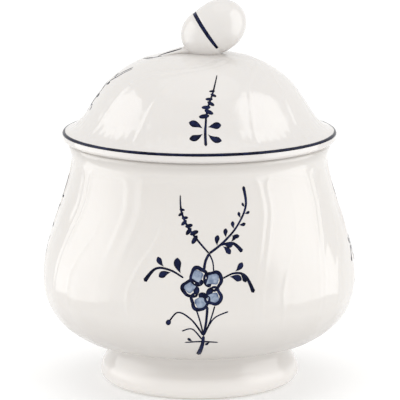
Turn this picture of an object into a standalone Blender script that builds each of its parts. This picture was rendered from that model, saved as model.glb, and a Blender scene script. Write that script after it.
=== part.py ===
"""Covered sugar bowl: a bellied porcelain pot on a turned foot, and a domed lid with a fruit knob.

Two pieces come apart in use, the bowl and the lid. Each was formed from separate castings that
were joined with slip before firing, and every casting is an object of its own here.
Frame: metres, +Z up, the origin at the centre of the foot's contact ring. The lid lifts along +Z.
Outlines are (radius, height) pairs in millimetres and run outwards from the axis or upwards.
"""

import math

import bmesh
import bpy
from mathutils import Matrix, Vector

MM = 0.001
SEGMENTS = 52
JOINT_GAP = 0.3  # between two castings, and between the lid and the rim it rests on

# Bowl
BELLY_RADIUS = 50.0
BELLY_HEIGHT = 32.3
BASE_HEIGHT = 14.0  # underside of the bowl's floor
FLOOR_HEIGHT = 18.2
NECK_RADIUS = 40.6
NECK_HEIGHT = 72.5
RIM_RADIUS = 41.6
RIM_HEIGHT = 77.5
MOUTH_RADIUS = 37.6

# Foot
FOOT_RADIUS = 31.6
FOOT_NECK_RADIUS = 29.1
FOOT_TOP = BASE_HEIGHT - JOINT_GAP
CONTACT_OUTER = 28.0
CONTACT_INNER = 25.6
FOOT_WELL_RADIUS = 24.5

# Lid
SEAT_HEIGHT = RIM_HEIGHT + JOINT_GAP
LID_RADIUS = 43.5
LID_TOP = 106.0
LID_WALL = 3.2
FLANGE_OUTER = MOUTH_RADIUS - 0.8  # running clearance in the mouth
FLANGE_INNER = 33.8
FLANGE_BOTTOM = 71.8
LEDGE_HEIGHT = 81.3

# Fruit knob, an egg lying on its side with its blunt end up to the right
KNOB_HALF_LENGTH = 11.1
KNOB_RADIUS = 8.2
KNOB_FULLNESS = 2.4
KNOB_TILT = math.radians(35.0)
KNOB_CENTRE = Vector((4.6, 0.0, 113.2))
CREASE_PLACE = -2.1
CREASE_DEPTH = 0.2
CREASE_WIDTH = 0.9
STALK_START = Vector((-5.6, 0.0, 106.5))
STALK_END = Vector((-11.2, 0.0, 104.9))
STALK_RADIUS = 1.7
STALK_TIP_RADIUS = 0.9

BELLY_OUTLINE = [
    (31.5, 14.1),
    (36.0, 14.6),
    (40.0, 16.5),
    (45.0, 20.4),
    (48.5, 26.2),
    (BELLY_RADIUS, BELLY_HEIGHT),
    (49.2, 41.0),
    (46.7, 50.0),
    (43.3, 60.0),
    (41.1, 68.0),
    (NECK_RADIUS, NECK_HEIGHT),
    (RIM_RADIUS, 76.6),
]
INNER_OUTLINE = [
    (28.0, 18.4),
    (36.0, 19.8),
    (41.6, 23.2),
    (45.2, 28.2),
    (46.4, 33.5),
    (45.6, 41.0),
    (43.0, 50.0),
    (39.8, 59.5),
    (MOUTH_RADIUS, 67.5),
]
FOOT_OUTLINE = [
    (29.9, 0.8),
    (31.2, 2.0),
    (FOOT_RADIUS, 3.7),
    (31.1, 6.2),
    (29.8, 8.6),
    (FOOT_NECK_RADIUS, 11.0),
    (29.5, FOOT_TOP),
]
DOME_OUTLINE = [
    (41.8, 81.2), (39.3, 82.8), (36.4, 85.9), (33.9, 89.8), (29.5, 95.9), (24.3, 100.3),
    (18.1, 103.5), (11.0, 105.2), (4.0, 105.9),
]
DOME_INNER_OUTLINE = [
    (33.8, 83.6),
    (31.2, 87.8),
    (26.8, 93.6),
    (22.0, 97.6),
    (16.5, 100.5),
    (10.0, 102.2),
]


def clear_scene():
    for obj in list(bpy.data.objects):
        bpy.data.objects.remove(obj, do_unlink=True)


def curve_through(points, steps):
    """A Catmull-Rom curve through the points, with a number of steps between each pair."""
    ends = [points[0]] + list(points) + [points[-1]]
    curve = []
    for a, b, c, d in zip(ends, ends[1:], ends[2:], ends[3:]):
        for k in range(steps):
            t = k / steps
            curve.append(tuple(
                0.5 * (2 * q + (r - p) * t + (2 * p - 5 * q + 4 * r - s) * t * t
                       + (3 * q - p - 3 * r + s) * t ** 3)
                for p, q, r, s in zip(a, b, c, d)
            ))
    return curve + [tuple(points[-1])]


def arc(centre, radius, start, end, steps):
    """Points on an arc in the outline's plane, angles in degrees from the outward direction."""
    angles = [math.radians(start + (end - start) * k / steps) for k in range(steps + 1)]
    return [(centre[0] + radius * math.cos(a), centre[1] + radius * math.sin(a)) for a in angles]


def height_on(outline, radius):
    """The height of a dome's outline at one radius."""
    for (r0, z0), (r1, z1) in zip(outline, outline[1:]):
        if min(r0, r1) <= radius <= max(r0, r1):
            return z0 + (z1 - z0) * (radius - r0) / (r1 - r0)
    return outline[-1][1]


def porcelain(name, color, roughness, coat):
    """A glazed or bare ceramic body in one colour."""
    material = bpy.data.materials.new(name)
    material.use_nodes = True
    material.diffuse_color = (*color, 1.0)
    shader = material.node_tree.nodes["Principled BSDF"]
    shader.inputs["Base Color"].default_value = (*color, 1.0)
    shader.inputs["Roughness"].default_value = roughness
    shader.inputs["Metallic"].default_value = 0.0
    shader.inputs["Coat Weight"].default_value = coat
    return material


def add_object(name, bm, origin, parent, material):
    """Give a mesh in millimetres its object, with its own origin, in metres."""
    bmesh.ops.transform(bm, matrix=Matrix.Translation(-origin), verts=bm.verts)
    bmesh.ops.scale(bm, vec=(MM, MM, MM), verts=bm.verts)
    bmesh.ops.recalc_face_normals(bm, faces=bm.faces)
    mesh = bpy.data.meshes.new(name)
    bm.to_mesh(mesh)
    bm.free()
    mesh.shade_smooth()
    mesh.set_sharp_from_angle(angle=math.radians(35.0))
    mesh.materials.append(material)
    obj = bpy.data.objects.new(name, mesh)
    bpy.context.scene.collection.objects.link(obj)
    obj.parent = parent
    obj.location = origin * MM - parent.location
    return obj


def add_axis(name, height):
    """An empty on the pot's axis, which a loose piece hangs on."""
    empty = bpy.data.objects.new(name, None)
    empty.location = (0.0, 0.0, height * MM)
    empty.empty_display_size = 0.02
    bpy.context.scene.collection.objects.link(empty)
    return empty


def spin_outline(outline, closed, segments=SEGMENTS):
    """Turn an outline about the Z axis. A closed outline makes a ring."""
    bm = bmesh.new()
    verts = [bm.verts.new((r, 0.0, z)) for r, z in outline]
    pairs = list(zip(verts, verts[1:]))
    if closed:
        pairs.append((verts[-1], verts[0]))
    edges = [bm.edges.new(pair) for pair in pairs]
    bmesh.ops.spin(
        bm, geom=verts + edges, cent=(0, 0, 0), axis=(0, 0, 1),
        angle=2 * math.pi, steps=segments, use_merge=True, use_duplicate=False,
    )
    bmesh.ops.remove_doubles(bm, verts=bm.verts, dist=1e-4)
    return bm


def bowl_outline():
    belly = curve_through(BELLY_OUTLINE, 2)
    rim_outer = arc((RIM_RADIUS - 0.9, RIM_HEIGHT - 0.9), 0.9, 15, 90, 3)
    rim_inner = arc((MOUTH_RADIUS + 0.9, RIM_HEIGHT - 0.9), 0.9, 90, 180, 3)
    inside = curve_through(INNER_OUTLINE, 2)[::-1]
    return [(0, BASE_HEIGHT)] + belly + rim_outer + rim_inner + inside + [(0, FLOOR_HEIGHT)]


def foot_outline():
    outside = curve_through([(CONTACT_OUTER, 0.0)] + FOOT_OUTLINE, 2)
    well = [(FOOT_WELL_RADIUS, FOOT_TOP), (FOOT_WELL_RADIUS, 1.2), (CONTACT_INNER, 0.0)]
    return outside + well


def dome_outer_outline():
    rim = arc((LID_RADIUS - 0.7, 79.0), 0.7, -70, 0, 3) + arc((LID_RADIUS - 0.8, 80.1), 0.8, 0, 75, 3)
    return rim + curve_through(DOME_OUTLINE, 2) + [(0, LID_TOP)]


def lid_outline():
    land = [(FLANGE_OUTER + JOINT_GAP, SEAT_HEIGHT), (LID_RADIUS - 1.1, SEAT_HEIGHT)]
    ledge = [(FLANGE_INNER, LEDGE_HEIGHT), (FLANGE_OUTER + JOINT_GAP, LEDGE_HEIGHT)]
    inside = [(0, LID_TOP - LID_WALL)] + curve_through(DOME_INNER_OUTLINE, 2)[::-1]
    return inside + ledge + land + dome_outer_outline()


def flange_outline():
    top = LEDGE_HEIGHT - JOINT_GAP
    lead_in = 0.8
    return [
        (FLANGE_INNER, top),
        (FLANGE_INNER, FLANGE_BOTTOM + lead_in),
        (FLANGE_INNER + lead_in, FLANGE_BOTTOM),
        (FLANGE_OUTER - lead_in, FLANGE_BOTTOM),
        (FLANGE_OUTER, FLANGE_BOTTOM + lead_in),
        (FLANGE_OUTER, top),
    ]


def seat_on_dome(bm):
    """Lift what would sink into the lid, so that the piece ends one joint gap above the dome."""
    dome = dome_outer_outline()
    for vert in bm.verts:
        floor = height_on(dome, math.hypot(vert.co.x, vert.co.y)) + JOINT_GAP
        vert.co.z = max(vert.co.z, floor)


def knob_mesh():
    """The fruit: a full egg turned about its long axis, with a shallow crease round its waist."""
    rings = 20
    outline = [(0.0, -KNOB_HALF_LENGTH)]
    for k in range(1, rings):
        along = -KNOB_HALF_LENGTH * math.cos(math.pi * k / rings)
        radius = KNOB_RADIUS * math.sqrt(1 - abs(along / KNOB_HALF_LENGTH) ** KNOB_FULLNESS)
        radius -= CREASE_DEPTH * math.exp(-((along - CREASE_PLACE) / CREASE_WIDTH) ** 2)
        outline.append((radius, along))
    outline.append((0.0, KNOB_HALF_LENGTH))
    bm = spin_outline(outline, closed=False, segments=28)
    lay_down = Matrix.Rotation(math.pi / 2 - KNOB_TILT, 4, "Y")
    bmesh.ops.transform(bm, matrix=Matrix.Translation(KNOB_CENTRE) @ lay_down, verts=bm.verts)
    seat_on_dome(bm)
    return bm


def stalk_mesh():
    """The fruit's short stalk, which tapers away down the dome."""
    length = (STALK_END - STALK_START).length
    rings = 8
    outline = [(0.0, -STALK_RADIUS * 0.3)]
    for k in range(rings + 1):
        t = k / rings
        radius = STALK_RADIUS + (STALK_TIP_RADIUS - STALK_RADIUS) * t
        outline.append((radius * (0.75 if k in (0, rings) else 1.0), length * t))
    outline.append((0.0, length + STALK_TIP_RADIUS * 0.4))
    bm = spin_outline(outline, closed=False, segments=16)
    direction = (STALK_END - STALK_START).to_track_quat("Z", "Y").to_matrix().to_4x4()
    bmesh.ops.transform(bm, matrix=Matrix.Translation(STALK_START) @ direction, verts=bm.verts)
    seat_on_dome(bm)
    return bm


def build():
    clear_scene()
    glaze = porcelain("porcelain_glaze", (0.86, 0.85, 0.82), 0.12, 1.0)
    bowl_axis = add_axis("bowl_axis", 0.0)
    lid_axis = add_axis("lid_axis", SEAT_HEIGHT)
    centre = Vector((0.0, 0.0, 0.0))
    seat = Vector((0.0, 0.0, SEAT_HEIGHT))
    foot_glaze = porcelain("foot_glaze", (0.85, 0.84, 0.81), 0.14, 1.0)
    lid_glaze = porcelain("lid_glaze", (0.87, 0.86, 0.83), 0.12, 1.0)
    knob_glaze = porcelain("knob_glaze", (0.87, 0.86, 0.84), 0.1, 1.0)
    stalk_glaze = porcelain("stalk_glaze", (0.87, 0.86, 0.84), 0.13, 1.0)
    biscuit = porcelain("biscuit", (0.80, 0.77, 0.71), 0.55, 0.0)
    add_object("bowl_body", spin_outline(bowl_outline(), False), centre, bowl_axis, glaze)
    add_object("foot_ring", spin_outline(foot_outline(), True), centre, bowl_axis, foot_glaze)
    add_object("lid_dome", spin_outline(lid_outline(), False), seat, lid_axis, lid_glaze)
    add_object("lid_flange", spin_outline(flange_outline(), True), seat, lid_axis, biscuit)
    add_object("lid_knob", knob_mesh(), KNOB_CENTRE, lid_axis, knob_glaze)
    add_object("knob_stalk", stalk_mesh(), STALK_START, lid_axis, stalk_glaze)


build()
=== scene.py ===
import math

import bpy
import numpy as np
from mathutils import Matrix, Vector


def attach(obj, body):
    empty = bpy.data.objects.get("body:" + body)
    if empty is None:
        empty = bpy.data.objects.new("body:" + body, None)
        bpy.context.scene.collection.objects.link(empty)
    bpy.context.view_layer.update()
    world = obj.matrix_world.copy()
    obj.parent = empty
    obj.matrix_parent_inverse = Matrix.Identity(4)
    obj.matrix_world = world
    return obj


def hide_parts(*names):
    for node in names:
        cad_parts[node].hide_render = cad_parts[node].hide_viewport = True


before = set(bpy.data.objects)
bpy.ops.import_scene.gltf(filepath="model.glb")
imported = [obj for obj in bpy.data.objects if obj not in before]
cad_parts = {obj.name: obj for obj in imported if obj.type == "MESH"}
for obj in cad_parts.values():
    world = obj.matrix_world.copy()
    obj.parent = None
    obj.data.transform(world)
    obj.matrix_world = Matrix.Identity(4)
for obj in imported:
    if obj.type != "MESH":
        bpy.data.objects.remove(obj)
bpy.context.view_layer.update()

# The looks of a covered porcelain sugar bowl: glazed body, foot, lid, flange and fruit knob, with
# shallow twisted flutes and a painted blue spray. Lengths are millimetres until a mesh is made.
# Angles run round the pot's axis from the front (-Y), positive towards +X.

MM = 0.001
rng = np.random.default_rng(7)

# ------------------------------------------------------------------ sizes
# The CAD's own values, except where a line says otherwise.
BELLY_RADIUS = 50.0
BASE_HEIGHT = 14.0
FLOOR_HEIGHT = 18.2
RIM_RADIUS = 41.6
RIM_HEIGHT = 77.5
MOUTH_RADIUS = 37.6
FOOT_TOP = 14.1  # 0.1 into the body, so that the joint shows no gap; the CAD stops at 13.7
CONTACT_OUTER = 28.0
CONTACT_INNER = 25.6
FOOT_WELL_RADIUS = 24.5
SEAT_HEIGHT = 77.8
LID_RADIUS = 43.5
LID_TOP = 106.0
LID_WALL = 3.2
FLANGE_OUTER = 36.8
FLANGE_INNER = 33.8
FLANGE_BOTTOM = 71.8
LEDGE_HEIGHT = 81.3
KNOB_HALF_LENGTH = 10.95  # 11.1 in the CAD
KNOB_RADIUS = 8.0  # 8.2 in the CAD
KNOB_FULLNESS = 2.4
LOWER_FULLNESS = 2.9  # the CAD has one fullness for both ends
KNOB_TILT = math.radians(35.0)
KNOB_CENTRE = np.array([4.6, 0.0, 113.2])
CREASE_PLACE = -2.1

BELLY_OUTLINE = [
    (31.5, 14.1), (36.0, 14.6), (40.0, 16.5), (45.0, 20.4), (48.5, 26.2), (BELLY_RADIUS, 32.3),
    (49.2, 41.0), (46.7, 50.0), (43.3, 60.0), (41.1, 68.0), (40.6, 72.5), (RIM_RADIUS, 76.6),
]
INNER_OUTLINE = [
    (28.0, 18.4), (36.0, 19.8), (41.6, 23.2), (45.2, 28.2), (46.4, 33.5), (45.6, 41.0),
    (43.0, 50.0), (39.8, 59.5), (MOUTH_RADIUS, 67.5),
]
FOOT_OUTLINE = [
    (CONTACT_OUTER, 0.0), (29.9, 0.8), (31.2, 2.0), (31.6, 3.7), (31.1, 6.2), (29.8, 8.6),
    (29.1, 11.0), (29.5, FOOT_TOP),
]
DOME_OUTLINE = [
    (41.8, 81.2), (39.3, 82.8), (36.4, 85.9), (33.9, 89.8), (29.5, 95.9), (24.3, 100.3),
    (18.1, 103.5), (11.0, 105.2), (4.0, 105.9),
]
DOME_INNER_OUTLINE = [
    (33.8, 83.6), (31.2, 87.8), (26.8, 93.6), (22.0, 97.6), (16.5, 100.5), (10.0, 102.2),
]

# ------------------------------------------------------------------ camera, floor and light
CAMERA_DISTANCE = 1.115
CAMERA_ELEVATION = math.radians(11.1)
CAMERA_AIM = Vector((0.0002, 0.0, 0.0582))
CAMERA_LENS = 315.0  # millimetres, on a 36 mm sensor


def make_camera():
    data = bpy.data.cameras.new("camera")
    data.lens = CAMERA_LENS
    data.sensor_width = 36.0
    data.clip_start = 0.05
    data.clip_end = 20.0
    camera = bpy.data.objects.new("camera", data)
    back = Vector((0.0, -math.cos(CAMERA_ELEVATION), math.sin(CAMERA_ELEVATION)))
    camera.location = CAMERA_AIM + back * CAMERA_DISTANCE
    camera.rotation_mode = "QUATERNION"
    camera.rotation_quaternion = (-back).to_track_quat("-Z", "Y")
    bpy.context.scene.collection.objects.link(camera)
    bpy.context.scene.camera = camera


TABLE_HALF_WIDTH = 6.0  # metres
TABLE_GREY = 0.75
TABLE_GLOW = 0.27  # the table lights itself a little, so that it shows near white
ROOM_WHITE = (1.0, 0.995, 0.985, 1.0)


def make_floor():
    """A plain pale table, far wider than the picture."""
    half = TABLE_HALF_WIDTH
    mesh = bpy.data.meshes.new("floor")
    corners = [(-half, -half, 0), (half, -half, 0), (half, half, 0), (-half, half, 0)]
    mesh.from_pydata(corners, [], [(0, 1, 2, 3)])
    floor = bpy.data.objects.new("floor", mesh)
    bpy.context.scene.collection.objects.link(floor)
    material = bpy.data.materials.new("pale_table")
    material.use_nodes = True
    shader = material.node_tree.nodes["Principled BSDF"]
    shader.inputs["Base Color"].default_value = (TABLE_GREY, TABLE_GREY, TABLE_GREY, 1.0)
    shader.inputs["Roughness"].default_value = 0.6
    shader.inputs["Specular IOR Level"].default_value = 0.3
    shader.inputs["Emission Color"].default_value = (1.0, 1.0, 1.0, 1.0)
    shader.inputs["Emission Strength"].default_value = TABLE_GLOW
    mesh.materials.append(material)


WINDOW_BACK_SHARE = 0.3  # of the width, dimmed towards the back edge
WINDOW_BACK_LEVEL = 0.7
WINDOW_BOTTOM_SHARE = 0.35  # of the height, dimmed towards the floor
WINDOW_BOTTOM_LEVEL = 0.72


def grade_softbox(data, fade, on_right):
    """Grade a softbox: nothing at its front edge, full after fade, dimmer at the back and below."""
    data.use_nodes = True
    tree = data.node_tree
    place = tree.nodes.new("ShaderNodeSeparateXYZ")
    geometry = tree.nodes.new("ShaderNodeNewGeometry")
    tree.links.new(geometry.outputs["Parametric"], place.inputs[0])
    across, up = place.outputs["X"], place.outputs["Y"]
    front_edge, inwards = (0.0, 1.0) if on_right else (1.0, -1.0)
    full = front_edge + inwards * fade
    back = front_edge + inwards * (1.0 - WINDOW_BACK_SHARE)
    front_level = add_range(tree, across, front_edge, full, 0.0, 1.0)
    back_level = add_range(tree, across, back, 1.0 - front_edge, 1.0, WINDOW_BACK_LEVEL)
    bottom_level = add_range(tree, up, 0.0, WINDOW_BOTTOM_SHARE, WINDOW_BOTTOM_LEVEL, 1.0)
    level = add_product(tree, add_product(tree, front_level, back_level), bottom_level)
    tree.links.new(level, tree.nodes["Emission"].inputs["Strength"])


def add_softbox(name, azimuth, distance, shift, width, height, power, fade=None, diffuse=False):
    """An upright rectangular light that stands on the floor and faces the pot.
    azimuth, distance and shift place its middle. fade gives the share of its width, from the
    front edge, over which it dies away. diffuse lights the pot's shade instead of its gloss."""
    data = bpy.data.lights.new(name, "AREA")
    data.shape = "RECTANGLE"
    data.size = width
    data.size_y = height
    data.energy = power
    light = bpy.data.objects.new(name, data)
    angle = math.radians(azimuth)
    outwards = Vector((math.sin(angle), -math.cos(angle), 0.0))
    sideways = Vector((math.cos(angle), math.sin(angle), 0.0))
    light.location = outwards * distance + sideways * shift + Vector((0, 0, height / 2))
    light.rotation_mode = "QUATERNION"
    light.rotation_quaternion = (-outwards).to_track_quat("-Z", "Y")
    light.visible_camera = False
    light.visible_diffuse = diffuse
    light.visible_glossy = not diffuse
    if fade:
        grade_softbox(data, fade, azimuth > 0)
    bpy.context.scene.collection.objects.link(light)


def add_product(tree, first, second):
    node = tree.nodes.new("ShaderNodeMath")
    node.operation = "MULTIPLY"
    tree.links.new(first, node.inputs[0])
    tree.links.new(second, node.inputs[1])
    return node.outputs[0]


def add_overhead(size, height, power):
    data = bpy.data.lights.new("overhead", "AREA")
    data.shape = "DISK"
    data.size = size
    data.energy = power
    light = bpy.data.objects.new("overhead", data)
    light.location = (0.0, 0.1, height)
    light.visible_camera = False
    bpy.context.scene.collection.objects.link(light)


# The two windows show only in the gloss; the fills light only the shade. Metres and watts.
WINDOWS = [
    dict(name="softbox_left", azimuth=-95, distance=0.17, shift=0.0685, width=0.273,
         height=0.257, power=0.50, fade=0.55),
    dict(name="softbox_right", azimuth=90, distance=0.17, shift=-0.051, width=0.198,
         height=0.35, power=0.53, fade=0.22),
]
FILLS = [
    dict(name="fill_left", azimuth=-80, distance=0.9, shift=0.0, width=0.9, height=0.6,
         power=0.72, diffuse=True),
    dict(name="fill_right", azimuth=80, distance=0.9, shift=0.0, width=0.9, height=0.6,
         power=1.0, diffuse=True),
    dict(name="fill_front", azimuth=0, distance=1.0, shift=0.0, width=1.2, height=0.3,
         power=0.5, diffuse=True),
]


def make_light():
    world = bpy.data.worlds.new("white_room")
    bpy.context.scene.world = world
    world.use_nodes = True
    background = world.node_tree.nodes["Background"]
    background.inputs["Color"].default_value = ROOM_WHITE
    background.inputs["Strength"].default_value = 1.0
    for softbox in WINDOWS + FILLS:
        add_softbox(**softbox)
    add_overhead(size=1.2, height=1.3, power=1.6)
    bpy.context.scene.view_settings.view_transform = "Standard"


# ------------------------------------------------------------------ turned shapes
def curve_through(points, steps):
    """A Catmull-Rom curve through the points, with a number of steps between each pair."""
    points = np.asarray(points, float)
    ends = np.vstack([points[:1], points, points[-1:]])
    t = np.arange(steps)[:, None] / steps
    spans = []
    for a, b, c, d in zip(ends, ends[1:], ends[2:], ends[3:]):
        spans.append(0.5 * (2 * b + (c - a) * t + (2 * a - 5 * b + 4 * c - d) * t ** 2
                            + (3 * b - a - 3 * c + d) * t ** 3))
    return np.vstack(spans + [points[-1:]])


def arc(centre, radius, start, end, steps):
    """Points on an arc in the outline's plane, angles in degrees from the outward direction."""
    a = np.radians(np.linspace(start, end, steps + 1))
    return np.stack([centre[0] + radius * np.cos(a), centre[1] + radius * np.sin(a)], 1)


def even_steps(outline, step):
    """The same outline with its points a set distance apart."""
    outline = np.asarray(outline, float)
    along = np.concatenate([[0], np.cumsum(np.hypot(*np.diff(outline, axis=0).T))])
    places = np.linspace(0, along[-1], max(2, round(along[-1] / step) + 1))
    return np.stack([np.interp(places, along, outline[:, k]) for k in (0, 1)], 1)


class Outline:
    """Half of a turned shape's section: points, outward normals and the distance along it."""

    def __init__(self, points):
        self.points = np.asarray(points, float)
        ahead = np.gradient(self.points, axis=0)
        ahead /= np.hypot(ahead[:, 0], ahead[:, 1])[:, None] + 1e-9
        self.normals = np.stack([ahead[:, 1], -ahead[:, 0]], 1)
        steps = np.hypot(*np.diff(self.points, axis=0).T)
        self.along = np.concatenate([[0], np.cumsum(steps)])

    def distance_at_height(self, z):
        return np.interp(z, self.points[:, 1], self.along)

    def at(self, s):
        """Radius, height and normal at a distance along the outline."""
        return [np.interp(s, self.along, row) for row in (*self.points.T, *self.normals.T)]


def smooth_step(low, high, x):
    t = np.clip((x - low) / (high - low), 0, 1)
    return t * t * (3 - 2 * t)


def new_piece(name, verts, faces, material):
    """A smooth mesh object from points in millimetres."""
    mesh = bpy.data.meshes.new(name)
    mesh.from_pydata((np.asarray(verts) * MM).tolist(), [], faces)
    mesh.update()
    mesh.shade_smooth()
    mesh.materials.append(material)
    piece = bpy.data.objects.new(name, mesh)
    bpy.context.scene.collection.objects.link(piece)
    return piece


def ring_faces(rows, columns, closed_rows):
    """Quads between rows of points that each run once round the axis."""
    faces = []
    last = rows if closed_rows else rows - 1
    for i in range(last):
        a = i * columns
        b = (i + 1) % rows * columns
        faces += [
            (a + j, a + (j + 1) % columns, b + (j + 1) % columns, b + j) for j in range(columns)
        ]
    return faces


def end_fans(rows, columns):
    """Triangles from the first and last rings to the two end points that follow all the rings."""
    first, last = rows * columns, rows * columns + 1
    top = (rows - 1) * columns
    faces = [(first, (j + 1) % columns, j) for j in range(columns)]
    faces += [(last, top + j, top + (j + 1) % columns) for j in range(columns)]
    return faces


def turn(name, outline, relief, segments, material, closed=False):
    """Turn an outline about the axis. relief(phi, outline) moves each point along its normal.
    An outline that starts and ends on the axis is closed by a fan of triangles at each end."""
    phi = np.arange(segments) * 2 * math.pi / segments
    r, z = outline.points.T
    body = slice(None) if closed else slice(1, -1)
    moved = relief(phi, outline)[body]
    radius = r[body, None] + moved * outline.normals[body, 0, None]
    height = z[body, None] + moved * outline.normals[body, 1, None]
    grid = np.stack([radius * np.sin(phi), -radius * np.cos(phi), height + 0 * phi], 2)
    rows = grid.shape[0]
    verts = grid.reshape(-1, 3)
    faces = ring_faces(rows, segments, closed)
    if not closed:
        verts = np.vstack([verts, [[0, 0, z[0]], [0, 0, z[-1]]]])
        faces += end_fans(rows, segments)
    return new_piece(name, verts, faces, material)


def no_relief(phi, outline):
    return np.zeros((len(outline.points), len(phi)))


# ------------------------------------------------------------------ the flutes
FLUTE_PITCH = 30.0  # degrees between the main ribs
RIB_HALF_WIDTH = 1.35
RIDGE_HEIGHT = 0.24
RIDGE_WIDTH = 0.72
PANEL_DEPTH = 0.10
PANEL_TOP = 72.4
PANEL_CORNER = 3.5
FINE_RIB_HEIGHT = 0.25
FINE_RIB_WIDTH = 0.68
# How far each kind of rib leans round the pot, in degrees, at each height (or radius).
MAIN_RIB_LEAN = curve_through(
    [(14, -8), (22, -8), (30, -8), (38, -7.6), (46, -5.6), (54, -2.4), (62, 0.4), (70, -0.2),
     (78, -0.6)], 8
)
FINE_RIB_LEAN = curve_through(
    [(14, 3), (22, 3), (30, 2.8), (38, 2.8), (46, 6.6), (54, 12.6), (62, 15), (70, 15), (78, 15)], 8
)
LID_RIB_LEAN = curve_through(
    [(5, 150), (9, 125), (13, 95), (17, 68), (21, 29.5), (25, 10), (29, 4), (33, 0.5), (37, -1.4),
     (41, -2), (45, -2)], 8
)


def wrap(angle):
    return (angle + 180.0) % 360.0 - 180.0


def flute_place(phi):
    """Degrees round the pot on the flutes' own scale, a little wider at the sides."""
    return (np.degrees(phi) + 2.0 * np.sin(phi))[None, :]


def nearest_rib(place):
    """The number of the nearest rib, from 0 in front, and the degrees from it."""
    place = wrap(place)
    number = np.round(place / FLUTE_PITCH)
    return number, place - number * FLUTE_PITCH


def rounded_panel(across, up, half_width, top, radius):
    """Signed distance to the border of a panel that is open below and has round upper corners."""
    qx = np.abs(across) - (half_width - radius)
    qz = up - (top - radius)
    outside = np.hypot(np.maximum(qx, 0), np.maximum(qz, 0))
    return outside + np.minimum(np.maximum(qx, qz), 0) - radius


def hand_wobble(phi, along):
    """The slight unevenness of a slip-cast wall. along is a height or a radius, as a column."""
    phi = phi[None, :]
    return 0.03 * np.sin(9 * phi + 0.35 * along) + 0.025 * np.sin(13 * phi - 0.5 * along + 2.0)


def bowl_relief(phi, outline):
    """Twisted panels between raised main ribs, a plain wide panel in front, and a fine rib that
    sweeps down across each panel."""
    r, z = outline.points[:, :1], outline.points[:, 1:]
    place = flute_place(phi)
    mm_per_degree = r * math.pi / 180
    outside = outline.normals[:, :1] > 0.2

    turned = wrap(place - np.interp(z, *MAIN_RIB_LEAN.T))
    front = np.abs(turned) < FLUTE_PITCH
    middle = np.where(front, 0.0, (np.floor(turned / FLUTE_PITCH) + 0.5) * FLUTE_PITCH)
    # soft is 1 at the rib left of the front panel, which is broader and lower than the others
    soft = np.exp(-((turned + FLUTE_PITCH) / 9.0) ** 2)
    rib = RIB_HALF_WIDTH + 1.5 * soft
    half = np.where(front, FLUTE_PITCH, FLUTE_PITCH / 2) * mm_per_degree - rib
    border = rounded_panel((turned - middle) * mm_per_degree, z, half, PANEL_TOP, PANEL_CORNER)
    strength = (0.3 + 0.7 * smooth_step(44, 55, z)) * smooth_step(22, 40, z)
    strength = strength * smooth_step(73.2, 70.8, z) * outside
    ridge = np.exp(-(border / (RIDGE_WIDTH + 1.2 * soft)) ** 2) * (1 - 0.25 * soft)
    relief = (RIDGE_HEIGHT * ridge - PANEL_DEPTH * smooth_step(0.3, -2.5, border)) * strength

    number, degrees = nearest_rib(place - np.interp(z, *FINE_RIB_LEAN.T))
    across = degrees * mm_per_degree
    fine = np.exp(-(across / FINE_RIB_WIDTH) ** 2) - 0.45 * np.exp(-((across - 2.1) / 1.3) ** 2)
    strength = (0.22 + 0.78 * smooth_step(60, 56, z)) * smooth_step(24, 36, z)
    strength = strength * smooth_step(72, 69, z) * outside * (number != 0)
    strength = strength * np.where(number == -1, 1.0, 0.3 + 0.35 * smooth_step(46, 40, z))
    relief += FINE_RIB_HEIGHT * fine * strength

    low = smooth_step(15, 20, z) * smooth_step(42, 30, z) * outside
    relief += 0.07 * (np.cos(turned * 2 * math.pi / 15) - 1) * low
    relief += (hand_wobble(phi, z) - 0.055) * outside * smooth_step(77.0, 74.0, z)
    relief -= 0.15 * np.exp(-((z - 32.3) / 8.0) ** 2) * outside
    return np.minimum(relief, BELLY_RADIUS - 0.06 - r)


def lid_relief(phi, outline):
    """Ribs that rise from the flared rim, every third one whirling on towards the knob."""
    r = outline.points[:, :1]
    number, degrees = nearest_rib(flute_place(phi) - np.interp(r, *LID_RIB_LEAN.T))
    slope = np.gradient(np.interp(r[:, 0], *LID_RIB_LEAN.T)) * math.pi / 180
    slope = slope[:, None] * r / (np.gradient(outline.along)[:, None] + 1e-9)
    across = degrees * math.pi / 180 * r / np.sqrt(1 + slope ** 2)
    whirling = np.mod(number + 2, 3) == 0
    fade = np.where(whirling, smooth_step(10, 15, r), smooth_step(21, 28, r) * (number != 0))
    outside = (outline.normals[:, 1:] > 0.05) * smooth_step(42.0, 39.0, r)
    relief = (0.17 * np.exp(-(across / 0.85) ** 2) - 0.12 * np.exp(-(across / 3.0) ** 2)) * fade
    relief += 0.03 * np.cos(72 * phi)[None, :] * np.exp(-((r - 38.0) / 1.4) ** 2)
    relief += hand_wobble(phi, r) * smooth_step(4.0, 12.0, r) - 0.055
    return relief * outside


# ------------------------------------------------------------------ outlines
def bowl_outline():
    belly = curve_through(BELLY_OUTLINE, 12)
    rim_outer = arc((RIM_RADIUS - 0.9, RIM_HEIGHT - 0.9), 0.9, 15, 90, 5)
    rim_inner = arc((MOUTH_RADIUS + 0.9, RIM_HEIGHT - 0.9), 0.9, 90, 180, 5)
    outside = even_steps(np.vstack([belly, rim_outer]), 0.55)
    inside = even_steps(curve_through(INNER_OUTLINE, 8)[::-1], 1.6)
    base = even_steps([(0, BASE_HEIGHT), (31.0, BASE_HEIGHT)], 4.0)
    floor = [(20, FLOOR_HEIGHT + 0.1), (10, FLOOR_HEIGHT), (0, FLOOR_HEIGHT)]
    return Outline(np.vstack([base, outside, rim_inner, inside, floor]))


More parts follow.
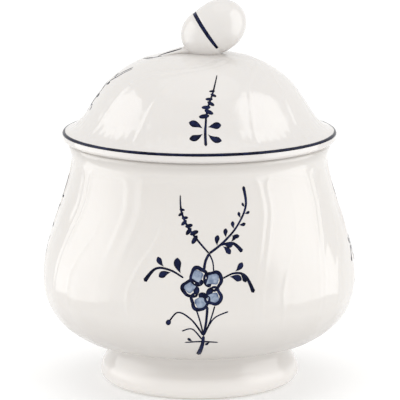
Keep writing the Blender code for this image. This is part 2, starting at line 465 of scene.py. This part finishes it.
def foot_outline():
    outside = even_steps(curve_through(FOOT_OUTLINE, 10), 0.45)
    well = even_steps([(FOOT_WELL_RADIUS, FOOT_TOP), (FOOT_WELL_RADIUS, 1.2)], 1.5)
    return Outline(np.vstack([outside, well, [(CONTACT_INNER - 0.2, 0.25), (CONTACT_INNER, 0.0)]]))


def dome_outline():
    lower = arc((LID_RADIUS - 0.7, 79.0), 0.7, -70, 0, 5)
    upper = arc((LID_RADIUS - 0.8, 80.1), 0.8, 0, 75, 6)
    dome = curve_through(DOME_OUTLINE + [(0, LID_TOP)], 12)
    return Outline(np.vstack([lower, upper, even_steps(dome, 0.55)]))


def lid_outline():
    wall = FLANGE_OUTER + 0.3
    inside = even_steps(
        np.vstack([[(0, LID_TOP - LID_WALL)], curve_through(DOME_INNER_OUTLINE, 8)[::-1]]), 1.6
    )
    ledge = [(FLANGE_INNER, LEDGE_HEIGHT), (wall, LEDGE_HEIGHT), (wall, SEAT_HEIGHT + 0.3)]
    land = [(wall + 0.3, SEAT_HEIGHT), (LID_RADIUS - 1.1, SEAT_HEIGHT)]
    return Outline(np.vstack([inside, ledge, land, dome_outline().points]))


def flange_outline():
    top = LEDGE_HEIGHT - 0.05  # the CAD stops 0.3 below the ledge
    lower = arc((FLANGE_INNER + 0.9, FLANGE_BOTTOM + 0.9), 0.9, 180, 270, 5)
    outer = arc((FLANGE_OUTER - 0.9, FLANGE_BOTTOM + 0.9), 0.9, -90, 0, 5)
    return Outline(np.vstack([[(FLANGE_INNER, top)], lower, outer, [(FLANGE_OUTER, top)]]))


# ------------------------------------------------------------------ the knob
KNOB_AXIS = np.array([math.cos(KNOB_TILT), 0.0, math.sin(KNOB_TILT)])
KNOB_SIDE = np.array([0.0, -1.0, 0.0])
KNOB_UP = np.cross(KNOB_SIDE, KNOB_AXIS)


def knob_radius(along):
    """The fruit's radius at a distance along its axis from its middle, with the waist's crease."""
    fullness = np.where(along < 0, LOWER_FULLNESS, KNOB_FULLNESS)
    full = np.clip(1 - np.abs(along / KNOB_HALF_LENGTH) ** fullness, 0, 1)
    crease = 0.24 * np.exp(-((along - CREASE_PLACE) / 0.75) ** 2)
    blunt = 0.2 * np.exp(-((along - 4.5) / 3.0) ** 2)
    return KNOB_RADIUS * np.sqrt(full) - crease * (full > 0.2) + blunt * full


def on_knob(along, angle, lift):
    """A point on the fruit. The angle runs round its axis, from the front over the top."""
    radius = (knob_radius(along) + lift)[..., None]
    ring = np.cos(angle)[..., None] * KNOB_SIDE + np.sin(angle)[..., None] * KNOB_UP
    return KNOB_CENTRE + along[..., None] * KNOB_AXIS + radius * ring


def make_knob(material):
    """The fruit. Its underside sinks into the dome, where the CAD's ends just above it."""
    rings, segments = 72, 96
    along = -KNOB_HALF_LENGTH * np.cos(np.linspace(0, math.pi, rings + 1))[1:-1]
    angle = np.arange(segments) * 2 * math.pi / segments
    a, b = np.meshgrid(along, angle, indexing="ij")
    verts = on_knob(a, b, np.zeros_like(a)).reshape(-1, 3)
    ends = KNOB_CENTRE + np.outer([-KNOB_HALF_LENGTH, KNOB_HALF_LENGTH], KNOB_AXIS)
    verts = np.vstack([verts, ends])
    faces = ring_faces(rings - 1, segments, False) + end_fans(rings - 1, segments)
    return new_piece("lid_knob_fruit", verts, faces, material)


# The stalk is wider, flatter and longer than the CAD's round stub.
STALK_PATH = curve_through(
    [(-2.5, 0.0, 106.4), (-5.5, 0.1, 106.25), (-8.5, -0.1, 105.65), (-11.5, -0.5, 104.9),
     (-13.6, -0.9, 104.25)], 8
)
STALK_LENGTH = 11.4


def on_stalk(along, angle, lift):
    """A point on the flattened stalk. The angle runs over its top, from the back to the front."""
    t = np.clip(along / STALK_LENGTH, 0, 1)[..., None]
    places = np.linspace(0, 1, len(STALK_PATH))
    middle = np.stack([np.interp(t[..., 0], places, row) for row in STALK_PATH.T], -1)
    tip = np.sqrt(np.clip(1 - np.clip((t - 0.6) / 0.4, 0, 1) ** 2, 0.004, 1))
    angle = angle[..., None]
    ribbed = 1 + 0.07 * np.sin(3 * angle) * (1 - t)
    wide = (3.0 - 1.2 * t) * tip * ribbed + lift[..., None]
    thick = (1.55 - 0.75 * t) * tip * ribbed + lift[..., None]
    side, up = np.array([0.0, 1.0, 0.0]), np.array([0.28, 0.0, 0.96])
    return middle + wide * np.cos(angle) * side + thick * np.sin(angle) * up


def make_stalk(material):
    """A short flattened stub of stalk that runs down the dome from the fruit's lower end."""
    rows, segments = 36, 32
    along = np.linspace(0, STALK_LENGTH, rows)
    angle = -np.arange(segments) * 2 * math.pi / segments
    a, b = np.meshgrid(along, angle, indexing="ij")
    grid = on_stalk(a, b, np.zeros_like(a))
    verts = np.vstack([grid.reshape(-1, 3), STALK_PATH[:1], STALK_PATH[-1:]])
    faces = ring_faces(rows, segments, False) + end_fans(rows, segments)
    return new_piece("knob_stalk_stub", verts, faces, material)


STALK_RADIUS = 2.2  # about the mean, to turn a distance across it into an angle


def on_fruit(u, v, lift):
    """u runs along the fruit's axis and v round its waist, both in millimetres."""
    return on_knob(np.asarray(u, float), np.asarray(v, float) / KNOB_RADIUS, lift)


def along_stalk(u, v, lift):
    """u runs down the stalk and v across its top, both in millimetres."""
    return on_stalk(np.asarray(u, float), np.asarray(v, float) / STALK_RADIUS, lift)


# ------------------------------------------------------------------ brush strokes
# A stroke is a list of points (across, up) with a half-width at each, in millimetres on the
# unrolled surface. It becomes a thin closed film that follows the glaze and its flutes.
PAINT_LIFT = 0.035
PAINT_SINK = -0.08
LAYER_STEP = 0.003  # keeps crossing strokes out of one plane
LAYERS = 9
LANES = np.array([-1.0, -0.55, 0.0, 0.55, 1.0])


def brush(points, widths, steps=6):
    """A stroke with round ends along a smooth curve. widths are half-widths spread along it."""
    path = curve_through(points, steps)
    t = np.linspace(0, 1, len(path))
    half = np.interp(t, np.linspace(0, 1, len(widths)), widths)
    length = np.hypot(*np.diff(path, axis=0).T).sum() + 1e-6
    for end, width in ((t, widths[0]), (1 - t, widths[-1])):
        cap = np.clip(end * length / max(width, 0.05), 0, 1)
        half = half * np.sqrt(np.clip(1 - (1 - cap) ** 2, 0.0025, 1))
    return path, half


def leaf(base, tip, width, bend=0.0, point=0.35):
    """A teardrop from its narrow base to its rounded tip, bowed sideways by bend."""
    base, tip = np.array(base, float), np.array(tip, float)
    t = np.linspace(0, 1, 15)
    sideways = np.array([-(tip - base)[1], (tip - base)[0]])
    path = base + np.outer(t, tip - base) + np.outer(np.sin(math.pi * t) * bend, sideways)
    half = width / 2 * np.sin(math.pi * np.clip(t, 0.004, 0.996) ** (1.0 + point * 2)) ** 0.75
    return path, half


def dot(centre, radius, stretch=1.0, angle=0.0):
    """A round or oval touch of the brush."""
    t = np.linspace(-1, 1, 13)
    ahead = np.array([math.cos(angle), math.sin(angle)])
    path = np.array(centre) + np.outer(t * radius * stretch, ahead)
    return path, radius * np.sqrt(np.clip(1 - t ** 2, 0.003, 1))


def stroke_faces(rows, start):
    """Faces of one closed stroke: rows of lanes on top, as many below, and a wall round them."""
    lanes = len(LANES)
    below = start + rows * lanes
    faces = []
    for i in range(rows - 1):
        for j in range(lanes - 1):
            a, b = start + i * lanes + j, start + (i + 1) * lanes + j
            faces.append((a, b, b + 1, a + 1))
            a, b = below + i * lanes + j, below + (i + 1) * lanes + j
            faces.append((a, a + 1, b + 1, b))
    border = [i * lanes for i in range(rows)]
    border += [(rows - 1) * lanes + j for j in range(1, lanes)]
    border += [i * lanes + lanes - 1 for i in range(rows - 2, -1, -1)]
    border += list(range(lanes - 2, 0, -1))
    for p, q in zip(border, border[1:] + border[:1]):
        faces.append((start + q, start + p, below + p, below + q))
    return faces


def film(strokes, place):
    """Points, faces and brush load of a set of strokes. place(u, v, lift) gives points in space."""
    verts, faces, loads = [], [], []
    lanes = len(LANES)
    for number, (path, half) in enumerate(strokes):
        ahead = np.gradient(path, axis=0)
        ahead /= np.hypot(*ahead.T)[:, None] + 1e-9
        side = np.stack([-ahead[:, 1], ahead[:, 0]], 1)
        flat = path[:, None, :] + LANES[None, :, None] * half[:, None, None] * side[:, None, :]
        lift = (PAINT_LIFT + LAYER_STEP * (number % LAYERS)) * (1 - 0.6 * LANES ** 2)
        rows = len(path)
        start = sum(len(v) for v in verts)
        for height in (np.broadcast_to(lift, (rows, lanes)), np.full((rows, lanes), PAINT_SINK)):
            verts.append(place(flat[..., 0], flat[..., 1], height).reshape(-1, 3))
        edge = np.abs(LANES)[None, :] ** 3 + 0 * half[:, None]
        ends = np.linspace(-1, 1, rows)[:, None] ** 6
        load = np.clip(0.25 + 0.5 * edge + 0.35 * ends + rng.uniform(-0.12, 0.12), 0, 1)
        loads += [load.reshape(-1), load.reshape(-1)]
        faces += stroke_faces(rows, start)
    return np.vstack(verts), faces, np.concatenate(loads)


def carry_paint(piece, load, body):
    """Store the brush load, which the paint's material reads, and attach the piece to its named
    body.
    """
    attribute = piece.data.attributes.new("brush_load", "FLOAT", "POINT")
    attribute.data.foreach_set("value", load.reshape(-1).astype(np.float32))
    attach(piece, body)


def paint(name, strokes, place, material, body):
    verts, faces, load = film(strokes, place)
    carry_paint(new_piece(name, verts, faces, material), load, body)


def on_surface(outline, relief, phi, s, lift):
    """Points on a turned, fluted surface, at angles round it and distances along its outline."""
    r, z, nr, nz = outline.at(s)
    moved = relief(phi, s) + lift
    radius = r + moved * nr
    return np.stack([radius * np.sin(phi), -radius * np.cos(phi), z + moved * nz], -1)


def placer(outline, relief, azimuth, rim=None):
    """place(u, v, lift) on a turned, fluted surface, with u round it in millimetres. v is a
    height or, if the distance of the rim along the outline is given, a distance from there."""
    def place(u, v, lift):
        s = outline.distance_at_height(v) if rim is None else rim + v
        phi = math.radians(azimuth) + u / np.maximum(outline.at(s)[0], 1.0)
        return on_surface(outline, relief, phi, s, lift)
    return place


def relief_lookup(relief, outline, segments=1440):
    """The relief as a function of angle and distance along the outline."""
    phi = np.arange(segments) * 2 * math.pi / segments
    table = relief(phi, outline)

    def look(angle, s):
        row = np.interp(s, outline.along, np.arange(len(outline.along)))
        column = np.mod(angle, 2 * math.pi) / (2 * math.pi) * segments
        i = np.clip(np.floor(row).astype(int), 0, len(table) - 2)
        j = np.floor(column).astype(int) % segments
        fi, fj = row - i, column - np.floor(column)
        k = (j + 1) % segments
        near = table[i, j] * (1 - fj) + table[i, k] * fj
        far = table[i + 1, j] * (1 - fj) + table[i + 1, k] * fj
        return near * (1 - fi) + far * fi
    return look


# ------------------------------------------------------------------ materials
def material_nodes(name):
    material = bpy.data.materials.new(name)
    material.use_nodes = True
    tree = material.node_tree
    return material, tree, tree.nodes["Principled BSDF"]


def add_noise(tree, scale, detail=2.0, roughness=0.5):
    coordinates = tree.nodes.new("ShaderNodeTexCoord")
    noise = tree.nodes.new("ShaderNodeTexNoise")
    noise.inputs["Scale"].default_value = scale
    noise.inputs["Detail"].default_value = detail
    noise.inputs["Roughness"].default_value = roughness
    tree.links.new(coordinates.outputs["Object"], noise.inputs["Vector"])
    return noise.outputs["Fac"]


def add_range(tree, value, from_low, from_high, to_low, to_high):
    node = tree.nodes.new("ShaderNodeMapRange")
    node.inputs["From Min"].default_value = from_low
    node.inputs["From Max"].default_value = from_high
    node.inputs["To Min"].default_value = to_low
    node.inputs["To Max"].default_value = to_high
    tree.links.new(value, node.inputs["Value"])
    return node.outputs["Result"]


def add_mix(tree, factor, first, second):
    """A colour mix. first and second are colours or sockets."""
    node = tree.nodes.new("ShaderNodeMix")
    node.data_type = "RGBA"
    tree.links.new(factor, node.inputs[0])
    for socket, value in ((node.inputs[6], first), (node.inputs[7], second)):
        if isinstance(value, tuple):
            socket.default_value = (*value, 1.0)
        else:
            tree.links.new(value, socket)
    return node.outputs[2]


def add_bump(tree, shader, heights):
    """Chained bumps: a list of (height socket, distance in metres)."""
    normal = None
    for height, distance in heights:
        bump = tree.nodes.new("ShaderNodeBump")
        bump.inputs["Distance"].default_value = distance
        bump.inputs["Strength"].default_value = 1.0
        tree.links.new(height, bump.inputs["Height"])
        if normal is not None:
            tree.links.new(normal, bump.inputs["Normal"])
        normal = bump.outputs["Normal"]
    tree.links.new(normal, shader.inputs["Normal"])


def add_height(tree):
    """Height above the table, in millimetres, of a piece whose frame is the shared one."""
    coordinates = tree.nodes.new("ShaderNodeTexCoord")
    split = tree.nodes.new("ShaderNodeSeparateXYZ")
    tree.links.new(coordinates.outputs["Object"], split.inputs[0])
    scale = tree.nodes.new("ShaderNodeMath")
    scale.operation = "MULTIPLY"
    scale.inputs[1].default_value = 1 / MM
    tree.links.new(split.outputs["Z"], scale.inputs[0])
    return scale.outputs[0]


# Painted shade: the grey that the glaze's colour is darkened towards where shade falls.
PAINTED_SHADE_TONE = (0.50, 0.475, 0.45)
SPECK = (0.60, 0.56, 0.50)


def make_glaze(name, light, dark, seed_scale=1.0, shade_bands=(), ripple=1.0):
    """Clear glaze on a warm white body: drifting tone, rare pin specks and a faint orange peel.
    Each band of painted shade is (height where none, height where full, amount): the colour is
    darkened there towards a grey shade tone.
    ripple makes the glaze's surface more or less wavy and soft."""
    material, tree, shader = material_nodes(name)
    drift = add_range(tree, add_noise(tree, 26.0 * seed_scale, 3.0), 0.35, 0.65, 0.0, 1.0)
    tone = add_mix(tree, drift, light, dark)
    # Painted shade: in each band the colour darkens towards the shade tone.
    for start, full, amount in shade_bands:
        shade_amount = add_range(tree, add_height(tree), start, full, 0.0, amount)
        tone = add_mix(tree, shade_amount, tone, PAINTED_SHADE_TONE)
    speck = add_range(tree, add_noise(tree, 1300.0, 0.0), 0.84, 0.90, 0.0, 0.22)
    color = add_mix(tree, speck, tone, SPECK)
    tree.links.new(color, shader.inputs["Base Color"])
    gloss = add_range(tree, add_noise(tree, 70.0, 2.0), 0.3, 0.7, 0.05 * ripple, 0.09 * ripple)
    tree.links.new(gloss, shader.inputs["Roughness"])
    shader.inputs["Subsurface Weight"].default_value = 0.15
    shader.inputs["Subsurface Radius"].default_value = (1.0, 0.9, 0.75)
    shader.inputs["Subsurface Scale"].default_value = 0.0012
    wave = add_noise(tree, 55.0, 1.0)
    dimple = add_noise(tree, 210.0, 1.0)
    peel = add_noise(tree, 700.0, 1.0)
    add_bump(tree, shader, [(wave, 0.00022 * ripple), (dimple, 0.00005 * ripple ** 2),
                            (peel, 0.000006)])
    return material


def make_biscuit():
    """Bare fired body: matt, slightly darker, with a fine sandy grain."""
    material, tree, shader = material_nodes("bare_biscuit")
    drift = add_range(tree, add_noise(tree, 90.0, 3.0), 0.35, 0.65, 0.0, 1.0)
    tone = add_mix(tree, drift, (0.80, 0.77, 0.70), (0.74, 0.70, 0.62))
    grain = add_range(tree, add_noise(tree, 1500.0, 1.0), 0.55, 0.75, 0.0, 0.35)
    tree.links.new(add_mix(tree, grain, tone, (0.60, 0.55, 0.47)), shader.inputs["Base Color"])
    rough = add_range(tree, add_noise(tree, 400.0, 2.0), 0.3, 0.7, 0.5, 0.7)
    tree.links.new(rough, shader.inputs["Roughness"])
    add_bump(tree, shader, [(add_noise(tree, 1100.0, 2.0), 0.00003)])
    return material


def make_paint(name, thin, thick, pool_low, pool_high):
    """Cobalt blue: thin in the middle of a stroke, darker where the brush load gathers."""
    material, tree, shader = material_nodes(name)
    attribute = tree.nodes.new("ShaderNodeAttribute")
    attribute.attribute_name = "brush_load"
    streak = add_range(tree, add_noise(tree, 520.0, 3.0, 0.6), 0.3, 0.7, -0.35, 0.35)
    total = tree.nodes.new("ShaderNodeMath")
    total.operation = "ADD"
    tree.links.new(attribute.outputs["Fac"], total.inputs[0])
    tree.links.new(streak, total.inputs[1])
    load = add_range(tree, total.outputs[0], pool_low, pool_high, 0.0, 1.0)
    tree.links.new(add_mix(tree, load, thin, thick), shader.inputs["Base Color"])
    gloss = add_range(tree, add_noise(tree, 70.0, 2.0), 0.3, 0.7, 0.06, 0.11)
    tree.links.new(gloss, shader.inputs["Roughness"])
    shader.inputs["Specular IOR Level"].default_value = 0.07
    add_bump(tree, shader, [(add_noise(tree, 55.0, 1.0), 0.00022)])
    return material


# ------------------------------------------------------------------ the painted designs
# Blue sprays: a five-petal flower, bud spikes, leafy twigs and grass. Each piece is (across, up) in
# millimetres. This isn't a generic design: the layout and most stroke points of spray, sprig and
# lid_spray follow the decoration of an existing pot closely. Replace them before any reuse.
def stations(points, count, first, last):
    """Places along a curve, each with the direction of the curve there."""
    path = curve_through(points, 20)
    for t in np.linspace(first, last, count):
        i = int(t * (len(path) - 2))
        ahead = path[i + 1] - path[i]
        yield path[i], math.atan2(ahead[1], ahead[0])


def toward(angle, length):
    return np.array([math.cos(angle), math.sin(angle)]) * length


PETAL_SIZES = (1.02, 0.96, 1.07, 0.98, 1.04)  # a hand never draws five petals alike


def flower(centre, size, lean):
    """A round open flower: dark petal borders and eye dots, and the pale washes inside them."""
    dark, wash = [], []
    for k, petal in enumerate(PETAL_SIZES):
        angle = lean + 2 * math.pi * (k + 0.025 * (-1) ** k) / 5
        ahead, side = toward(angle, 1.0), toward(angle + math.pi / 2, 1.0)
        middle = np.array(centre) + ahead * size * 0.60
        lobe = size * 0.40 * petal
        border = []
        for t in np.linspace(-0.80 * math.pi, 0.80 * math.pi, 17):
            ripple = lobe * (1 + 0.09 * math.cos(3 * t) + 0.05 * math.cos(5 * t + k))
            border.append(middle + ahead * ripple * math.cos(t) + side * ripple * math.sin(t))
        heel = middle - ahead * lobe * 0.92 + side * lobe * 0.15 * (-1) ** k
        wash.append(leaf(heel, middle + ahead * lobe * 0.88, lobe * 1.6, 0.08 * (-1) ** k, 0.3))
        dark.append(brush(border, [0.32, 0.46, 0.56, 0.62, 0.52, 0.42, 0.32], 4))
        eye = np.array(centre) + toward(angle + 0.25, size * 0.34)
        dark.append(dot(eye, size * 0.155 * petal, 1.45, angle + math.pi / 2))
    return dark, wash


def spike(points, buds, first, last, size, weight=0.28):
    """A slender stem with pairs of short bud dashes that grow smaller to the top."""
    strokes = [brush(points, [weight * 0.8, weight, weight * 1.1, weight, weight * 0.5], 8)]
    for k, (here, angle) in enumerate(stations(points, buds, first, last)):
        across = angle + math.pi / 2 + 0.3 * (-1) ** k
        grow = size * (1 - 0.5 * k / buds)
        offset = toward(across, grow * 0.3) * (-1) ** k
        strokes.append(dot(here + offset, grow * 0.33, 2.15, across))
    return strokes


def twig(points, weights, leaves, first, last, size, spread=0.85, taper=0.5):
    """A stem with leaves set on alternate sides, smaller to the tip."""
    strokes = [brush(points, weights, 8)]
    for k, (here, angle) in enumerate(stations(points, leaves, first, last)):
        side = (-1) ** k
        length = size * (1 - taper * k / leaves)
        direction = angle + spread * side
        base = here + toward(direction, 0.16 * length)
        strokes.append(leaf(base, here + toward(direction, length), length * 0.42, 0.08 * side))
    return strokes


def grass(points, weight, bud=0.0):
    """A thin bent blade, with a bud at its tip if it has one."""
    strokes = [brush(points, [weight * 1.2, weight, weight * 0.9, weight], 8)]
    if bud:
        strokes.append(dot(np.array(points[-1]), bud, 1.25, 1.2))
    return strokes


def spray(height, mirror=1.0, scale=1.0):
    """A flower between two side twigs, a spike and a leafy twig above, and gathered stems below.
    Placed by the height of the flower's middle."""
    dark, wash = flower((1.2, 0.0), 6.3, 1.9)
    joint = (3.0, 10.4)
    dark.append(brush([(1.4, 5.6), (1.9, 8.2), joint], [0.46, 0.42, 0.4]))
    dark.append(brush([(4.4, 5.2), (4.1, 8.0), joint], [0.2, 0.22, 0.26]))
    dark += spike([joint, (-0.6, 14.4), (-3.8, 18.6), (-5.6, 23.0), (-5.9, 27.6)],
                  buds=8, first=0.3, last=0.78, size=2.1, weight=0.32)
    dark += twig([joint, (7.4, 13.6), (11.8, 18.2), (14.6, 24.0), (13.8, 29.9)],
                 [0.4, 0.36, 0.3, 0.36, 0.54],
                 leaves=9, first=0.16, last=0.74, size=3.7, spread=0.85, taper=0.55)
    dark += twig([(6.2, 12.8), (10.4, 13.2), (13.4, 10.6)], [0.28, 0.42, 0.66],
                 leaves=2, first=0.12, last=0.42, size=4.0, spread=-1.0)
    dark += twig([(-4.8, 3.2), (-9.0, 5.4), (-13.6, 5.6), (-17.3, 1.6)], [0.26, 0.32, 0.36, 0.72],
                 leaves=3, first=0.1, last=0.46, size=5.6, spread=-0.8, taper=0.4)
    dark += twig([(7.2, 3.0), (10.8, 4.4), (14.4, 3.4), (17.1, -1.8)], [0.24, 0.32, 0.38, 0.7],
                 leaves=3, first=0.16, last=0.5, size=4.8, spread=-0.75, taper=0.4)
    knot = (1.3, -15.2)
    for foot, weight in (((2.5, -5.4), 0.42), ((-1.2, -5.6), 0.26), ((4.8, -5.2), 0.24)):
        middle = ((foot[0] + knot[0]) / 2 + 0.2, -10.4)
        dark.append(brush([foot, middle, knot], [weight, weight * 0.9, weight]))
    dark += grass([knot, (-2.4, -9.8), (-6.6, -7.4), (-9.6, -10.8)], 0.27, 0.8)
    dark += grass([knot, (4.4, -9.4), (9.0, -7.2)], 0.24)
    dark += grass([(0.9, -16.6), (-2.2, -12.9), (-5.4, -13.6)], 0.23)
    dark += twig([(-4.6, -17.6), (1.0, -17.3), (5.8, -17.6)], [0.18, 0.3, 0.18],
                 leaves=2, first=0.3, last=0.75, size=2.3, spread=2.4, taper=0.2)
    dark.append(brush([knot, (0.9, -18.6), (-0.4, -22.8)], [0.4, 0.6, 0.8]))
    place = np.array([mirror * scale, scale]), np.array([0.0, height])
    return [[(path * place[0] + place[1], half * scale) for path, half in strokes]
            for strokes in (dark, wash)]


def sprig(scale=1.0, mirror=1.0):
    """A bud spike with four leaves at its foot, for the lid."""
    dark = spike([(0.2, 1.0), (0.2, 7.0), (1.0, 13.5), (3.0, 20.0), (4.6, 27.6)],
                 buds=7, first=0.44, last=0.78, size=2.3, weight=0.3)
    dark.append(brush([(0.2, 1.0), (0.2, 6.4), (0.6, 10.6)], [0.46, 0.42, 0.26]))
    dark += [leaf((0.2 + 0.8 * x, y), (0.2 + 5.0 * x, y + 1.9 * rise), 2.3, 0.08 * x * rise)
             for x, y, rise in ((-1, 7.4, 1), (1, 7.8, 0.3), (-1, 5.6, -1), (1, 5.4, -1.3))]
    return [(path * np.array([mirror * scale, scale]), half * scale) for path, half in dark]


def lid_spray():
    """A longer leafy branch that lies over the lid's side."""
    dark = twig([(-1.5, 6.0), (0.5, 11.0), (2.4, 16.5), (4.6, 22.0), (7.0, 27.5)],
                [0.5, 0.42, 0.36, 0.3, 0.4], leaves=5, first=0.2, last=0.7, size=4.2)
    dark += spike([(-0.6, 9.0), (-5.6, 15.0), (-8.4, 22.0), (-7.4, 28.0)],
                  buds=7, first=0.3, last=0.85, size=2.2)
    dark += grass([(-1.2, 7.0), (3.4, 9.6), (6.2, 8.6)], 0.24, 0.6)
    dark += grass([(2.6, 17.0), (6.4, 22.0), (8.2, 27.0)], 0.22)
    dark.append(brush([(-1.0, 31.6), (1.2, 33.6), (3.0, 35.2), (2.8, 37.8)],
                      [0.22, 0.36, 0.36, 0.3]))
    return dark


def ring_line(outline, relief, low, high, name, material, body):
    """A painted line right round the axis between two distances along an outline."""
    segments, lanes = 480, 5
    phi = np.arange(segments) * 2 * math.pi / segments
    waver = 0.05 * np.sin(3 * phi + 1.0) + 0.03 * np.sin(11 * phi) + 0.02 * np.sin(29 * phi + 2.0)
    t = np.linspace(-1, 1, lanes)[:, None]
    s = (low + high) / 2 + t * ((high - low) / 2 + waver[None, :] * 0.6) + 0.3 * waver[None, :]
    layers = []
    for lift in (PAINT_LIFT * (1 - 0.5 * t ** 2), PAINT_SINK + 0 * t):
        layers.append(on_surface(outline, relief, phi[None, :] + 0 * s, s, lift))
    verts = np.vstack([layers[0], layers[1][::-1]]).reshape(-1, 3)
    faces = ring_faces(2 * lanes, segments, True)
    piece = new_piece(name, verts, faces, material)
    load = np.vstack([np.abs(t) ** 3 * 0.5 + 0.35 + waver[None, :]] * 2)
    carry_paint(piece, load, body)


# ------------------------------------------------------------------ making
def carry(piece, body, slot, *nodes):
    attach(piece, body)
    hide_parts(*nodes)


def face_outwards(piece):
    """Reverse a closed mesh whose faces point in, judged by the sign of its volume."""
    mesh = piece.data
    mesh.calc_loop_triangles()
    co = np.zeros(len(mesh.vertices) * 3)
    mesh.vertices.foreach_get("co", co)
    co = co.reshape(-1, 3)
    tri = np.zeros(len(mesh.loop_triangles) * 3, np.int32)
    mesh.loop_triangles.foreach_get("vertices", tri)
    a, b, c = (co[tri.reshape(-1, 3)[:, k]] for k in range(3))
    if np.einsum("ij,ij->i", a, np.cross(b, c)).sum() < 0:
        mesh.flip_normals()


FLUTED_SEGMENTS = 600
PLAIN_SEGMENTS = 240
BARE_HEIGHT = 0.35 * MM  # the foot stands unglazed up to here
SPRIG_HEIGHT = 82.1  # on the lid, where the sprigs' own upward distance starts
RIM_LINE_HEIGHTS = np.array([80.2, 80.95])

make_camera()
make_floor()
make_light()

# Painted shade: the bowl's colour is darkened below the belly towards the foot and from just under
# the lid's rim upwards; the foot's colour is darkened up its neck, under the belly.
body_glaze = make_glaze("bowl_glaze", (0.728, 0.703, 0.676), (0.713, 0.687, 0.659),
                        shade_bands=((29.0, 15.2, 0.72), (73.6, 75.8, 0.48)))
# Painted light: the foot's glaze is the same porcelain as the bowl's, painted lighter as if more
# light fell on it.
foot_glaze = make_glaze("foot_glaze", (0.842, 0.813, 0.785), (0.827, 0.797, 0.769),
                        seed_scale=1.3, shade_bands=((5.5, 10.5, 0.5),))
lid_glaze = make_glaze("lid_glaze", (0.728, 0.705, 0.684), (0.713, 0.69, 0.669),
                       seed_scale=1.1, ripple=1.6)
knob_glaze = make_glaze("knob_glaze", (0.732, 0.710, 0.689), (0.717, 0.695, 0.674),
                        seed_scale=2.0)
biscuit = make_biscuit()
cobalt = make_paint("cobalt_paint", (0.012, 0.018, 0.064), (0.001, 0.002, 0.012), -0.05, 0.6)
cobalt_wash = make_paint("cobalt_wash", (0.34, 0.40, 0.50), (0.055, 0.09, 0.19), 0.05, 0.8)

bowl = turn("bowl_body_porcelain", bowl_outline(), bowl_relief, FLUTED_SEGMENTS, body_glaze)
foot = turn("foot_ring_porcelain", foot_outline(), no_relief, PLAIN_SEGMENTS, foot_glaze, True)
lid = turn("lid_dome_porcelain", lid_outline(), lid_relief, FLUTED_SEGMENTS, lid_glaze)
flange = turn("lid_flange_biscuit", flange_outline(), no_relief, PLAIN_SEGMENTS, biscuit, True)
knob = make_knob(knob_glaze)
stalk = make_stalk(knob_glaze)
for piece in (bowl, foot, lid, flange, knob, stalk):
    face_outwards(piece)

foot.data.materials.append(biscuit)
for polygon in foot.data.polygons:
    if max(foot.data.vertices[v].co.z for v in polygon.vertices) < BARE_HEIGHT:
        polygon.material_index = 1

carry(bowl, "bowl", "porcelain_bowl", "bowl_body")
carry(foot, "bowl", "porcelain_foot", "foot_ring")
carry(lid, "lid", "porcelain_lid", "lid_dome")
carry(flange, "lid", "biscuit", "lid_flange")
carry(knob, "lid", "porcelain_knob", "lid_knob")
carry(stalk, "lid", "porcelain_knob", "knob_stalk")

# The painted surfaces, as outlines of the outside only, with the flutes on them.
belly_surface = Outline(even_steps(curve_through(BELLY_OUTLINE, 12), 0.5))
dome_surface = dome_outline()
rim_distance = dome_surface.distance_at_height(SPRIG_HEIGHT)
belly_look = relief_lookup(bowl_relief, belly_surface)
dome_look = relief_lookup(lid_relief, dome_surface)

for side, azimuth, height, mirror, scale in (
    ("front", 0.0, 40.2, 1.0, 1.0), ("left", -104.0, 40.0, 1.0, 0.92),
    ("right", 97.0, 39.0, 1.0, 0.92), ("back", 180.0, 40.2, -1.0, 1.0),
):
    place = placer(belly_surface, belly_look, azimuth)
    dark, wash = spray(height, mirror, scale)
    paint(f"spray_{side}", dark, place, cobalt, "bowl")
    paint(f"spray_wash_{side}", wash, place, cobalt_wash, "bowl")
for side, azimuth, strokes in (
    ("front", 2.6, sprig()), ("left", -93.0, lid_spray()), ("back", 180.0, sprig(1.0, -1.0)),
    ("right", 116.0, sprig(0.9)),
):
    place = placer(dome_surface, dome_look, azimuth, rim_distance)
    paint(f"lid_sprig_{side}", strokes, place, cobalt, "lid")

line_low, line_high = dome_surface.distance_at_height(RIM_LINE_HEIGHTS)
ring_line(dome_surface, dome_look, line_low, line_high, "lid_rim_line", cobalt, "lid")

stalk_edge = [(3.2, 5.0), (5.5, 5.2), (8.0, 5.2), (10.6, 4.8)]
paint("stalk_line", [brush(stalk_edge, [0.22, 0.36, 0.36, 0.2], 10)], along_stalk, cobalt, "lid")
waist = [(CREASE_PLACE, -5.6), (CREASE_PLACE - 0.05, 0.0), (CREASE_PLACE + 0.05, 8.0),
         (CREASE_PLACE, 16.0), (CREASE_PLACE, 24.0), (CREASE_PLACE, 31.0)]
paint("knob_line", [brush(waist, [0.4, 0.58, 0.62, 0.62, 0.5, 0.3], 14)], on_fruit, cobalt, "lid")
